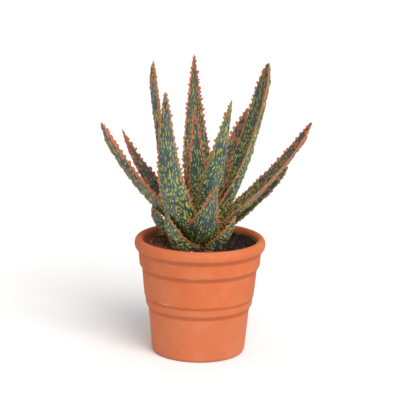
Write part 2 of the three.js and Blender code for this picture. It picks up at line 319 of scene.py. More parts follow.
# the solid's outline on the side facing -Y, as (radius, height), from its first corner upwards
def frontOutline(node):
    corners, near = weldedSolid(node)
    line = {i for i, c in enumerate(corners) if abs(c[0]) < 2 * sameCorner and c[1] < -2 * sameCorner}
    at = min(line, key=lambda i: (round(corners[i][2] / mm), corners[i][1]))
    outline, seen = [], set()
    while at is not None:
        seen.add(at)
        outline.append((-corners[at][1], corners[at][2]))
        here = corners[at]
        following = [i for i in near[at] if i in line and i not in seen]
        at = min(following, key=lambda i: np.linalg.norm(corners[i] - here)) if following else None
    return outline


# cuts each corner of an outline with a short arc, and adds points where a stretch is long
def roundedOutline(outline, rounding, steps, longest):
    points = [Vector(p) for p in outline]
    smooth = [points[0]]
    for before, corner, after in zip(points, points[1:], points[2:]):
        back, on = before - corner, after - corner
        start = corner + back.normalized() * min(rounding, back.length * 0.5)
        end = corner + on.normalized() * min(rounding, on.length * 0.5)
        for i in range(steps + 1):
            t = i / steps
            smooth.append(start * (1 - t) ** 2 + corner * 2 * t * (1 - t) + end * t ** 2)
    smooth.append(points[-1])
    filled = [smooth[0]]
    for point in smooth[1:]:
        gap = (point - filled[-1]).length
        if gap < sameCorner:
            continue
        pieces = max(1, math.ceil(gap / longest))
        start = filled[-1]
        for i in range(1, pieces + 1):
            filled.append(start.lerp(point, i / pieces))
    return filled


# a turned body from an outline that starts and ends near the axis, closed with a point on the axis at
# each end, with every other point moved as shape says
def turnedBody(outline, turns, shape):
    points, faces = [], []
    for k in range(turns):
        angle = 2 * math.pi * k / turns
        for r, z in outline:
            place = Vector((r * math.sin(angle), -r * math.cos(angle), z))
            points.append(shape(place))
    count = len(outline)
    for k in range(turns):
        a, b = k * count, ((k + 1) % turns) * count
        for i in range(count - 1):
            faces.append((a + i, b + i, b + i + 1, a + i + 1))
    for end in (0, count - 1):
        points.append(Vector((0, 0, outline[end][1])))
        for k in range(turns):
            a, b = k * count + end, ((k + 1) % turns) * count + end
            faces.append((b, a, len(points) - 1) if end == 0 else (a, b, len(points) - 1))
    return points, faces


def makePot():
    outline = frontOutline("pot")
    smooth = roundedOutline(outline, potLook["edgeRounding"], potLook["roundingSteps"],
                            potLook["longestStep"])

    def outOfTrue(place):
        ripple = potLook["ripple"] * noise.noise(place / potLook["rippleLength"])
        sway = noise.noise(place / potLook["wobbleLength"]) + ripple
        return place + Vector((place.x, place.y, 0)).normalized() * sway * potLook["wobble"]

    points, faces = turnedBody(smooth, potLook["turns"], outOfTrue)
    material = firedTerracotta()
    pot = makePiece("clay_pot", points, faces, material)

    holes = [o["box_m"] for o in frame["record"]["physics"]["openings"] if "drain" in o["name"]]
    low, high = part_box("pot")
    facets, spare = potLook["holeFacets"], potLook["cutterSpare"]
    for a, b in holes:
        middle = Vector([(p + q) / 2 for p, q in zip(a, b)])
        radius = math.hypot(b[0] - a[0], b[1] - a[1]) / 2 * potLook["holeSize"]
        ring = [(middle.x + radius * math.cos(2 * math.pi * i / facets),
                 middle.y + radius * math.sin(2 * math.pi * i / facets)) for i in range(facets)]
        sides = [(x, y, low.z - spare) for x, y in ring] + [(x, y, b[2] + spare) for x, y in ring]
        walls = [(i, (i + 1) % facets, (i + 1) % facets + facets, i + facets) for i in range(facets)]
        caps = [tuple(range(facets))[::-1], tuple(range(facets, 2 * facets))]
        cutter = makePiece("cutter", sides, walls + caps, material)
        cut = pot.modifiers.new("hole", "BOOLEAN")
        cut.object = cutter
        cut.operation = "DIFFERENCE"
        cut.solver = "EXACT"
        drilled = pot.evaluated_get(bpy.context.evaluated_depsgraph_get())
        shaped = bpy.data.meshes.new_from_object(drilled)
        pot.modifiers.clear()
        pot.data = shaped
        bpy.data.objects.remove(cutter)
    pot.data.shade_smooth()

    # lime has dried in a streak on the belt's upper edge, to the left, and faintly round the foot
    count = len(pot.data.vertices)
    places = np.empty(count * 3)
    pot.data.vertices.foreach_get("co", places)
    places = places.reshape(-1, 3)
    ledges = [(p, q) for p, q in zip(outline, outline[1:])
              if q[1] >= p[1] and q[0] - p[0] > potLook["ledgeSlope"] * (q[1] - p[1])]
    tops = [q[1] for p, q in ledges if q[1] > p[1]]
    beltTop = min(tops, key=lambda top: abs(top - potLook["streakHeight"] * high.z))
    around = np.degrees(np.arctan2(-places[:, 1], places[:, 0]))
    offBelt = np.abs(places[:, 2] - beltTop) / potLook["streakWidth"]
    offMiddle = np.abs(around - potLook["streakMiddle"]) / potLook["streakSpan"]
    worn = np.clip(potLook["streakStrength"] - offBelt - offMiddle, 0, 1)
    atFoot = potLook["footLime"] - places[:, 2] / potLook["footLimeHeight"]
    worn = np.maximum(worn, np.clip(atFoot, 0, 1))

    # painted shade under each ledge, as if in its shadow: further down the wider the ledge stands out
    radii = np.hypot(places[:, 0], places[:, 1])
    sheltered = np.zeros(count)
    for p, q in ledges:
        if p[1] > potLook["lowestLedge"]:
            width = q[0] - p[0]
            reach = potLook["shelterReach"] + potLook["shelterShare"] * width
            below = 1 - (p[1] - places[:, 2]) / reach
            inner, outer = potLook["shelterInside"] * p[0], q[0] - potLook["bareEdge"] * width
            under = (places[:, 2] < q[1]) & (radii > inner) & (radii < outer)
            sheltered = np.maximum(sheltered, np.where(under, np.clip(below, 0, 1), 0))
    for label, values in (("worn", worn), ("sheltered", sheltered)):
        layer = pot.data.attributes.new(label, "FLOAT", "POINT")
        layer.data.foreach_set("value", values.astype(np.float32))
    return standIn(pot, "pot")


makePot()
print("pot made")


# Potting compost, sieved peat with bark fines: damp, dark and crumbly, with reddish and dry pale bits.
soilLook = {
    "damp": "#22110d",
    "peat": "#47271c",
    "rust": "#744634",
    "dry": "#a87c60",
    "grainSize": 1.4 * mm,
    "lumpSize": 4 * mm,
    "gridStep": 0.7 * mm,
    "turns": 300,
    "drying": 0.3,               # how much paler the left side is than the right
    "sunk": 0.3 * mm,            # below the solid's top, on average
    "swells": ((11 * mm, 0.9 * mm), (4 * mm, 1.0 * mm), (1.6 * mm, 0.5 * mm)),     # lengths and depths
    "crumbs": 1300,
    "crumbRadius": (0.5 * mm, 2.4 * mm),
    "crumbStretch": ((0.6, 1.5), (0.6, 1.1), (0.5, 0.9)),
    "crumbDents": 0.25,          # share of the radius
    "crumbLift": 0.25,
    "crumbSpread": (0.04, 1),    # shares of the surface, from the stem outwards
    "rimGap": 1.2 * mm,
    "dryCrumb": 0.8,             # how pale the palest are in the middle
    "dryCrumbSlope": 0.4,        # and how much more so on the left
    "roughness": 0.95,
    "ior": 1.4,
}


def dampCompost():
    material, tree, shader = newMaterial("potting compost, sieved and damp")
    place = addNode(tree, "ShaderNodeTexCoord").outputs["Object"]
    lumps = addNode(tree, "ShaderNodeTexNoise", {
        "Vector": place, "Scale": 1 / soilLook["lumpSize"], "Detail": 5.0, "Roughness": 0.7})
    # the soil is paler towards the left and darker towards the right
    dryness = addNode(tree, "ShaderNodeAttribute", attribute_name="dryness")
    leftPaled = addNode(tree, "ShaderNodeMath", {
        0: dryness.outputs["Fac"], 1: soilLook["drying"], 2: lumps.outputs["Fac"]},
        operation="MULTIPLY_ADD")
    tones = addNode(tree, "ShaderNodeValToRGB", {"Fac": leftPaled.outputs["Value"]})
    ramp = tones.color_ramp
    ramp.elements[0].position, ramp.elements[0].color = 0.35, linear(soilLook["damp"])
    ramp.elements[1].position, ramp.elements[1].color = 0.72, linear(soilLook["rust"])
    ramp.elements.new(0.52).color = linear(soilLook["peat"])
    crumb = addNode(tree, "ShaderNodeAttribute", attribute_name="crumb")
    crumbShare = addNode(tree, "ShaderNodeMapRange", {
        "Value": crumb.outputs["Fac"], "From Min": 0.3, "From Max": 1.0, "To Max": 0.75})
    mixed = addNode(tree, "ShaderNodeMix", {
        "Factor": crumbShare.outputs["Result"],
        "A": tones.outputs["Color"], "B": linear(soilLook["dry"])}, data_type="RGBA")
    grain = addNode(tree, "ShaderNodeTexNoise", {
        "Vector": place, "Scale": 1 / soilLook["grainSize"], "Detail": 4.0, "Roughness": 0.7})
    bump = addNode(tree, "ShaderNodeBump", {
        "Height": grain.outputs["Fac"], "Strength": 0.7, "Distance": 0.4 * mm})
    tree.links.new(mixed.outputs["Result"], shader.inputs["Base Color"])
    tree.links.new(bump.outputs["Normal"], shader.inputs["Normal"])
    shader.inputs["Roughness"].default_value = soilLook["roughness"]
    shader.inputs["IOR"].default_value = soilLook["ior"]
    return material


# a ball of triangles, shared by every crumb and chip
def ballShape(divisions):
    mesh = bpy.data.meshes.new("ball")
    ball = bmesh.new()
    bmesh.ops.create_icosphere(ball, subdivisions=divisions, radius=1.0)
    ball.to_mesh(mesh)
    ball.free()
    points = np.array([v.co for v in mesh.vertices])
    faces = [tuple(p.vertices) for p in mesh.polygons]
    bpy.data.meshes.remove(mesh)
    return points, faces


def randomTurn(dice):
    axis = Vector((dice.uniform(-1, 1), dice.uniform(-1, 1), dice.uniform(-1, 1))).normalized()
    return np.array(Matrix.Rotation(dice.uniform(0, 2 * math.pi), 3, axis))


soilLow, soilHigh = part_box("soil")


def soilHeight(x, y):
    place = Vector((x, y, 0))
    rise = sum(noise.noise(place / size) * depth for size, depth in soilLook["swells"])
    return soilHigh.z - soilLook["sunk"] + rise


def makeSoil():
    radius = soilHigh.x
    rings = int(radius / soilLook["gridStep"])
    turns = soilLook["turns"]
    solid = weldedSolid("soil")[0]
    footRadius = max(math.hypot(c[0], c[1]) for c in solid if c[2] < soilLow.z + 1 * mm)
    points, faces = [], []
    for ring in range(1, rings + 1):
        r = radius * ring / rings
        for k in range(turns):
            angle = 2 * math.pi * k / turns
            x, y = r * math.cos(angle), r * math.sin(angle)
            points.append((x, y, soilHeight(x, y)))
    for ring in range(rings - 1):
        for k in range(turns):
            a, b = ring * turns + k, ring * turns + (k + 1) % turns
            faces.append((a, a + turns, b + turns, b))
    centre = len(points)
    points.append((0, 0, soilHeight(0, 0)))
    faces += [(k, (k + 1) % turns, centre) for k in range(turns)]
    edge = (rings - 1) * turns
    foot = len(points)
    for k in range(turns):
        angle = 2 * math.pi * k / turns
        points.append((footRadius * math.cos(angle), footRadius * math.sin(angle), soilLow.z))
    for k in range(turns):
        a, b = edge + k, edge + (k + 1) % turns
        faces.append((a, foot + k, foot + (k + 1) % turns, b))
    faces.append(tuple(foot + k for k in range(turns))[::-1])
    tones = [0.0] * len(points)

    dice = random.Random(11)
    ball, ballFaces = ballShape(1)
    for _ in range(soilLook["crumbs"]):
        r = (radius - soilLook["rimGap"]) * math.sqrt(dice.uniform(*soilLook["crumbSpread"]))
        angle = dice.uniform(0, 2 * math.pi)
        size = dice.triangular(*soilLook["crumbRadius"], soilLook["crumbRadius"][0])
        x, y = r * math.cos(angle), r * math.sin(angle)
        stretch = np.array([dice.uniform(*span) for span in soilLook["crumbStretch"]])
        own = Vector((angle, r, size)) * 40      # no two crumbs are dented alike
        dents = np.array([noise.noise(Vector(p) * 1.7 + own) for p in ball])
        rough = 1 + soilLook["crumbDents"] * dents
        lump = (ball * rough[:, None] * stretch * size) @ randomTurn(dice).T
        lump += np.array([x, y, soilHeight(x, y) + size * soilLook["crumbLift"]])
        first = len(points)
        points += [tuple(p) for p in lump]
        faces += [tuple(first + i for i in face) for face in ballFaces]
        palest = soilLook["dryCrumb"] - soilLook["dryCrumbSlope"] * x / radius
        tones += [dice.random() ** 3 * palest] * len(ball)
    dryness = [-p[0] / radius for p in points]
    soil = makePiece("compost", points, faces, dampCompost(), {"crumb": tones, "dryness": dryness})
    return standIn(soil, "soil")


makeSoil()
print("soil made")


# Aloe stem, grown: firm green flesh ringed by the scars of shed leaves.
stemLook = {
    "green": "#76803f",
    "scar": "#8c6b45",
    "mottleSize": 2.5 * mm,
    "ringSpacing": 3.2 * mm,
    "ringDepth": 0.35 * mm,
    "ringWander": 2,             # radians of the spacing
    "wanderLength": 6 * mm,
    "turns": 96,
    "edgeRounding": 2 * mm,
    "roundingSteps": 4,
    "longestStep": 0.6 * mm,
    "roughness": 0.7,
    "ior": 1.42,
}


def greenStem():
    material, tree, shader = newMaterial("aloe stem, grown")
    place = addNode(tree, "ShaderNodeTexCoord").outputs["Object"]
    mottle = addNode(tree, "ShaderNodeTexNoise", {
        "Vector": place, "Scale": 1 / stemLook["mottleSize"], "Detail": 4.0, "Roughness": 0.6})
    tone = addNode(tree, "ShaderNodeMix", {
        "Factor": mottle.outputs["Fac"],
        "A": linear(stemLook["green"]), "B": linear(stemLook["scar"])}, data_type="RGBA")
    bump = addNode(tree, "ShaderNodeBump", {
        "Height": mottle.outputs["Fac"], "Strength": 0.4, "Distance": 0.2 * mm})
    tree.links.new(tone.outputs["Result"], shader.inputs["Base Color"])
    tree.links.new(bump.outputs["Normal"], shader.inputs["Normal"])
    shader.inputs["Roughness"].default_value = stemLook["roughness"]
    shader.inputs["IOR"].default_value = stemLook["ior"]
    return material


def makeStem():
    smooth = roundedOutline(frontOutline("stem"), stemLook["edgeRounding"], stemLook["roundingSteps"],
                            stemLook["longestStep"])

    def scarred(place):
        out = Vector((place.x, place.y, 0))
        if out.length < 0.1 * mm:
            return place
        wander = stemLook["ringWander"] * noise.noise(place / stemLook["wanderLength"])
        ring = math.sin(2 * math.pi * place.z / stemLook["ringSpacing"] + wander)
        return place + out.normalized() * min(ring, 0) * stemLook["ringDepth"]

    points, faces = turnedBody(smooth, stemLook["turns"], scarred)
    return standIn(makePiece("aloe_stem", points, faces, greenStem()), "stem")


makeStem()
print("stem made")


# Aloe leaf skin, grown: a waxy slate blue-green cuticle with a soft sheen, raised pale flecks that run
# from lime at the base to rust at the tip, and coral margins and teeth where the sun has reddened them.
skinLook = {
    "slate": "#344946",
    "bloom": "#567079",          # wax bloom, bluer
    "moss": "#363f1f",           # greener near the base, and darker there as painted shade where the leaves crowd
    "channel": "#36463a",        # the shaded inner face
    "channelShare": 0.6,
    "lime": "#a3ac4f",
    "gold": "#97873a",
    "rust": "#ab683a",
    "coral": "#d25c48",
    "limeRim": "#66702f",        # round the edge of a young fleck, and of a reddened one
    "rustRim": "#96592c",
    "olive": "#857838",          # a margin that the sun hasn't reddened
    "bloomSize": 14 * mm,
    "cellSize": 0.7 * mm,
    "roughness": 0.42,
    "ior": 1.45,
}


def waxyAloeSkin():
    material, tree, shader = newMaterial("aloe leaf skin, waxy")
    place = addNode(tree, "ShaderNodeTexCoord").outputs["Object"]
    along, inner, fleck, fleckHue, margin, sunned = [
        addNode(tree, "ShaderNodeAttribute", attribute_name=label).outputs["Fac"]
        for label in ("along", "innerFace", "fleck", "fleckHue", "margin", "sunned")]
    cloud = addNode(tree, "ShaderNodeTexNoise", {
        "Vector": place, "Scale": 1 / skinLook["bloomSize"], "Detail": 3.0, "Roughness": 0.55})
    bloomShare = addNode(tree, "ShaderNodeMapRange", {
        "Value": cloud.outputs["Fac"], "From Min": 0.38, "From Max": 0.68, "To Max": 0.85})
    slate = addNode(tree, "ShaderNodeMix", {
        "Factor": bloomShare.outputs["Result"],
        "A": linear(skinLook["slate"]), "B": linear(skinLook["bloom"])}, data_type="RGBA")
    # the base is greener, and darkened with painted shade where the leaves crowd at the heart
    greenBaseShadeShare = addNode(tree, "ShaderNodeMapRange", {
        "Value": along, "From Min": 0.0, "From Max": 0.45, "To Min": 0.65, "To Max": 0.0})
    greenBaseShaded = addNode(tree, "ShaderNodeMix", {
        "Factor": greenBaseShadeShare.outputs["Result"],
        "A": slate.outputs["Result"], "B": linear(skinLook["moss"])}, data_type="RGBA")
    innerShare = addNode(tree, "ShaderNodeMath", {0: inner, 1: skinLook["channelShare"]},
                         operation="MULTIPLY")
    faced = addNode(tree, "ShaderNodeMix", {
        "Factor": innerShare.outputs["Value"],
        "A": greenBaseShaded.outputs["Result"], "B": linear(skinLook["channel"])}, data_type="RGBA")

    fleckTones = addNode(tree, "ShaderNodeValToRGB", {"Fac": fleckHue})
    ramp = fleckTones.color_ramp
    ramp.elements[0].position, ramp.elements[0].color = 0.25, linear(skinLook["lime"])
    ramp.elements[1].position, ramp.elements[1].color = 0.95, linear(skinLook["coral"])
    ramp.elements.new(0.5).color = linear(skinLook["gold"])
    ramp.elements.new(0.72).color = linear(skinLook["rust"])
    coreShare = addNode(tree, "ShaderNodeMapRange", {
        "Value": fleck, "From Min": 0.4, "From Max": 0.75})
    rimTone = addNode(tree, "ShaderNodeMix", {
        "Factor": fleckHue, "A": linear(skinLook["limeRim"]), "B": linear(skinLook["rustRim"])},
        data_type="RGBA")
    rimmed = addNode(tree, "ShaderNodeMix", {
        "Factor": coreShare.outputs["Result"],
        "A": rimTone.outputs["Result"], "B": fleckTones.outputs["Color"]}, data_type="RGBA")
    fleckShare = addNode(tree, "ShaderNodeMapRange", {
        "Value": fleck, "From Min": 0.2, "From Max": 0.5, "To Max": 0.95})
    flecked = addNode(tree, "ShaderNodeMix", {
        "Factor": fleckShare.outputs["Result"],
        "A": faced.outputs["Result"], "B": rimmed.outputs["Result"]}, data_type="RGBA")
    sun = addNode(tree, "ShaderNodeMix", {
        "Factor": sunned, "A": linear(skinLook["olive"]), "B": linear(skinLook["coral"])},
        data_type="RGBA")
    marginShare = addNode(tree, "ShaderNodeMapRange", {
        "Value": margin, "From Min": 0.3, "From Max": 0.75, "To Max": 0.95})
    edged = addNode(tree, "ShaderNodeMix", {
        "Factor": marginShare.outputs["Result"],
        "A": flecked.outputs["Result"], "B": sun.outputs["Result"]}, data_type="RGBA")

    cells = addNode(tree, "ShaderNodeTexNoise", {
        "Vector": place, "Scale": 1 / skinLook["cellSize"], "Detail": 2.0, "Roughness": 0.5})
    cellTone = addNode(tree, "ShaderNodeMapRange", {
        "Value": cells.outputs["Fac"], "From Min": 0.3, "From Max": 0.7, "To Min": 0.88, "To Max": 1.1})
    toned = addNode(tree, "ShaderNodeMix", {
        "Factor": 1.0, "A": edged.outputs["Result"], "B": cellTone.outputs["Result"]},
        data_type="RGBA", blend_type="MULTIPLY")
    bump = addNode(tree, "ShaderNodeBump", {
        "Height": cells.outputs["Fac"], "Strength": 0.25, "Distance": 0.1 * mm})
    shine = addNode(tree, "ShaderNodeMapRange", {
        "Value": cloud.outputs["Fac"], "From Min": 0.3, "From Max": 0.7,
        "To Min": skinLook["roughness"] - 0.06, "To Max": skinLook["roughness"] + 0.1})
    tree.links.new(toned.outputs["Result"], shader.inputs["Base Color"])
    tree.links.new(bump.outputs["Normal"], shader.inputs["Normal"])
    tree.links.new(shine.outputs["Result"], shader.inputs["Roughness"])
    shader.inputs["IOR"].default_value = skinLook["ior"]
    return material


leafLook = {
    "gridStep": 0.45 * mm,
    "fewestColumns": 14,
    "crowding": 0.85,             # how closely the grid's columns crowd to the margins, up to 1
    "fullLength": 90 * mm,        # from here up, teeth and flecks have their full size
    "shortSize": 0.35,            # and this share of it on the shortest
    "marginHalf": 0.5 * mm,       # half the leaf's thickness at its margin
    "marginShare": 0.4,           # and the most that it takes of the half width
    "outerRoundness": 2.1,        # more is boxier
    "thinnest": 0.05 * mm,
    "tipHalf": 0.15 * mm,
    "tipGap": 0.2 * mm,
    "plumpAt": 0.9,               # shares of the length
    "plumpSpan": 0.2,
    "swellHeight": 0.12 * mm,     # the face undulates a little
    "swellSizes": (6 * mm, 2.2 * mm),        # along and across
    "calmed": (3 * mm, 1.2 * mm),            # below this half width, and this near the edge, it lies flatter

    "ridge": 0.25 * mm,           # the hard line that joins the teeth
    "toothEnds": (0.05, 1.8 * mm),           # bare share of the length at the base, bare length at the tip
    "toothGap": (0.2 * mm, 2.6 * mm),
    "toothHeight": (0.5 * mm, 2.1 * mm),
    "toothHalfWidth": (1.0 * mm, 2.4 * mm),
    "toothSizes": (0.75, 0.35),   # at the base and at the tip, as shares
    "toothGrowth": (2, 6),        # how fast they reach full size from there
    "toothLean": (0.8, 1.2),      # shares of the width towards the tip and the base
    "toothShape": (2.2, 4.5),     # more is blunter
    "toothHook": 0.35,            # how far they hook towards the tip, as a share of their height
    "toothRise": 0.8,             # how steeply the teeth follow the margin up

    "marginBand": 0.45 * mm,
    "bandWander": 0.22,           # share of the band's width
    "wanderLengths": (2.1 * mm, 5.3 * mm),
    "marginEdge": 0.6 * mm,
    "redTip": 3 * mm,
    "redBetween": (0.2, 0.4),     # between teeth at the base, and how much more at the tip
    "redTooth": 0.7 * mm,         # a tooth this high is as red as the margin gets
    "redPatches": (9 * mm, 4 * mm),
    "patchDepth": 0.3,

    "fleckEnds": (1 * mm, 1.5 * mm),         # bare lengths at the base and at the tip
    "rowSpacing": (2.0 * mm, 4.2 * mm),      # fleck rows at the base and at the tip
    "rowWidening": 1.6,           # how soon rows reach the wider spacing
    "rowJitter": (0.85, 1.15),
    "rowBow": 0.3,                # share of the half width
    "rowScatter": 0.8 * mm,
    "fleckSpacing": (2.0 * mm, 2.5 * mm),
    "fleckJitter": (0.65, 1.4),
    "fleckHalfLength": (0.3 * mm, 0.8 * mm, 1.7 * mm),     # at the base, above its bands, at the tip
    "fleckLengths": (0.4, 1.5),
    "fleckHalfWidth": (0.34 * mm, 0.64 * mm),
    "fatFlecks": (0.1, 1.6),      # share of the flecks that are wider, and how much wider
    "fleckWave": (0.3 * mm, 1.3 * mm),       # how far flecks wander sideways, and its length along
    "fleckCrook": (0.25 * mm, 0.7 * mm),     # how far a band wanders along, and its length across
    "fleckBands": 44 * mm,        # length from the base in which flecks run together in bands
    "bandThinning": 0.2,
    "bandStretch": 1.0 * mm,
    "bandGap": 0.7 * mm,
    "fleckChance": (0.92, 0.15, 0.6),        # at the base, how much less at the tip, how much by clusters
    "clusterSize": 5 * mm,
    "clusterStretch": 0.7,
    "fleckHue": 0.16,             # 0 is lime and 1 coral
    "hueAlong": (0.5, 1.5),       # how much redder at the tip, and how late that comes
    "hueAcross": (0.2, 5),        # the same at the margins
    "hueScatter": 0.14,
    "fleckEdge": 0.6 * mm,
    "fleckHeight": (0.3 * mm, 1.2 * mm),
}

# For each leaf: how red its two margins are, how full its tip is (1 is straight-sided, less is fuller),
# how much plumper it is near the tip than its solid, how wide its lower flecks run across it, and how much
# its flecks lean to red.
leafCharacter = {
    "broad_leaf_front_left": {"sun": (0.95, 0.6), "fullness": 0.6, "warm": -0.05},
    "broad_leaf_right": {"sun": (0.6, 0.8), "fullness": 0.6, "girth": 1.35, "warm": -0.08},
    "tall_leaf_back": {"sun": (1.0, 1.0), "fullness": 0.9, "warm": 0.04},
    "tall_leaf_left": {"sun": (0.95, 0.6), "fullness": 0.6, "girth": 1.45, "warm": 0.05},
    "side_leaf_left": {"sun": (0.9, 0.9), "fullness": 0.5, "girth": 1.25, "warm": 0.12},
    "side_leaf_back_left": {"sun": (0.8, 0.8), "fullness": 1.0, "warm": 0.3},
    "side_leaf_right": {"sun": (0.8, 1.0), "fullness": 0.6, "girth": 1.15, "warm": 0.2},
    "low_leaf_right": {"sun": (0.4, 0.5), "fullness": 0.6, "girth": 1.35, "warm": 0.1},
    "heart_leaf_large": {"sun": (1.0, 1.0), "fullness": 0.8, "warm": -0.18},
    "heart_leaf_small": {"sun": (1.0, 1.0), "fullness": 0.8, "warm": -0.15},
    "upright_leaf_front_right": {"sun": (0.3, 0.3), "fullness": 0.9, "warm": -0.15},
    "narrow_leaf_back_right": {"sun": (1.0, 1.0), "fullness": 0.7, "warm": 0.2},
    "short_leaf_front": {"sun": (0.9, 0.8), "fullness": 0.9, "banded": 1.8, "warm": -0.1},
    "basal_leaf_front_left": {"sun": (0.8, 0.6), "banded": 2.0, "warm": -0.12},
    "basal_leaf_front_right": {"sun": (0.6, 0.6), "banded": 1.6, "warm": -0.12},
    "basal_leaf_left": {"sun": (0.3, 0.3), "fullness": 0.7, "girth": 1.4, "warm": 0.05},
}
plainLeaf = {"sun": (0.7, 0.6), "fullness": 0.8, "girth": 1.0, "banded": 0.8, "warm": 0.0}
ringSize = 8
opposite, quarter = ringSize // 2, ringSize // 4      # corners to the other side, and a quarter round
bladeSteps = ((0.45, -0.85), (0.85, -0.55), (1.0, 0.0), (0.85, 0.55), (0.45, 0.85))    # a tooth's section

# how a leaf's rings are found, and how they run on where its neighbours have cut it
ringLook = {
    "heartHeight": 8 * mm,        # above the soil
    "snap": 1.7 * mm,             # how near its guessed place a corner still belongs to the ring
    "fewestFound": 3,
    "growthKept": 0.5,            # share of the last ring's growth
    "mostGrowth": 1.12,
    "mostGuesses": 2,             # guessed rings in a row
    "mostRings": 20,
}
anyPhase = (0, 6)                 # radians


# the numbers of a ring's corners in order round it, or None if they don't close
def ringOrder(ring, near):
    order = [min(ring)]
    while len(order) < ringSize:
        following = sorted(i for i in near[order[-1]] if i in ring and i not in order)
        if not following:
            return None
        order.append(following[0])
    return order if order[0] in near[order[-1]] else None


# turns and flips a ring's points until they line up with the ring before
def lineUp(ring, before):
    here, there = ring - ring.mean(0), before - before.mean(0)
    there = there * (np.linalg.norm(here) / np.linalg.norm(there))
    choices = [np.roll(order, k) for order in (np.arange(ringSize), np.arange(ringSize)[::-1])
               for k in range(ringSize)]
    return ring[min(choices, key=lambda c: np.linalg.norm(here[c] - there))]


# axes of a ring: across it, from face to face, and along the leaf
def ringAxes(ring):
    spans = [np.linalg.norm(ring[i] - ring[i + opposite]) for i in range(opposite)]
    i = int(np.argmax(spans))
    across = (ring[i + opposite] - ring[i]) / spans[i]
    side = ring[(i + opposite + quarter) % ringSize] - ring[i + quarter]
    side = side - across * (side @ across)
    side = side / np.linalg.norm(side)
    return np.array([across, side, np.cross(across, side)]).T


# the rigid move that best takes one set of three or more points to another
def bestMove(points, targets):
    a, b = points - points.mean(0), targets - targets.mean(0)
    u, _, v = np.linalg.svd(a.T @ b)
    flip = np.diag([1, 1, np.sign(np.linalg.det(v.T @ u.T))])
    turn = v.T @ flip @ u.T
    return turn, targets.mean(0) - turn @ points.mean(0)


# The rings of eight corners that the leaf's solid is built of, tip first. Where a neighbour has cut
# corners away, the ring before says where they were.
def leafRings(node):
    corners, near = weldedSolid(node)
    heart = np.array([0, 0, soilHigh.z + ringLook["heartHeight"]])
    tip = max(range(len(corners)), key=lambda i: np.linalg.norm(corners[i] - heart))
    seen, ring, rings = {tip}, set(near[tip]), []
    while len(ring) == ringSize and ringOrder(ring, near):
        places = np.array([corners[i] for i in ringOrder(ring, near)])
        rings.append(lineUp(places, rings[-1]) if rings else places)
        seen |= ring
        ring = set().union(*(near[i] for i in ring)) - seen
    left = np.array([c for i, c in enumerate(corners) if i not in seen])
    free = 0
    while free < ringLook["mostGuesses"] and len(rings) < ringLook["mostRings"]:
        last, before = rings[-1], rings[-2]
        middle, axes, axesBefore = last.mean(0), ringAxes(last), ringAxes(before)
        if axes[:, 0] @ axesBefore[:, 0] < 0:
            axesBefore[:, :2] *= -1
        turn = axes @ axesBefore.T
        step = turn @ (middle - before.mean(0))
        growth = np.linalg.norm(last - middle) / np.linalg.norm(before - before.mean(0))
        growth = min(1 + ringLook["growthKept"] * (growth - 1), ringLook["mostGrowth"])
        guess = (turn @ (last - middle).T).T * growth + middle + step
        found, taken = {}, set()
        if len(left):
            for i, place in enumerate(guess):
                gaps = np.linalg.norm(left - place, axis=1)
                closest = int(gaps.argmin())
                if gaps[closest] < ringLook["snap"] and closest not in taken:
                    found[i] = left[closest]
                    taken.add(closest)
        if len(found) >= ringLook["fewestFound"]:
            kept = list(found)
            move, shift = bestMove(guess[kept], np.array([found[i] for i in kept]))
            guess = guess @ move.T + shift
            for i in kept:
                guess[i] = found[i]
            free = 0
        else:
            free += 1
            if math.hypot(*guess.mean(0)[:2]) > math.hypot(*middle[:2]):     # past the plant's axis
                break
        rings.append(guess)
    return corners[tip], rings


# a smooth curve through values given at stations
def throughPoints(stations, values, fine):
    values = np.asarray(values, dtype=float)
    slopes = np.gradient(values, stations, axis=0)
    k = np.clip(np.searchsorted(stations, fine, side="right") - 1, 0, len(stations) - 2)
    gap = stations[k + 1] - stations[k]
    t = (fine - stations[k]) / gap
    if values.ndim > 1:
        t, gap = t[:, None], gap[:, None]
    return ((1 + 2 * t) * (1 - t) ** 2 * values[k] + t * (1 - t) ** 2 * gap * slopes[k]
            + t ** 2 * (3 - 2 * t) * values[k + 1] + t ** 2 * (t - 1) * gap * slopes[k + 1])


def unit(rows):
    return rows / np.linalg.norm(rows, axis=-1, keepdims=True)


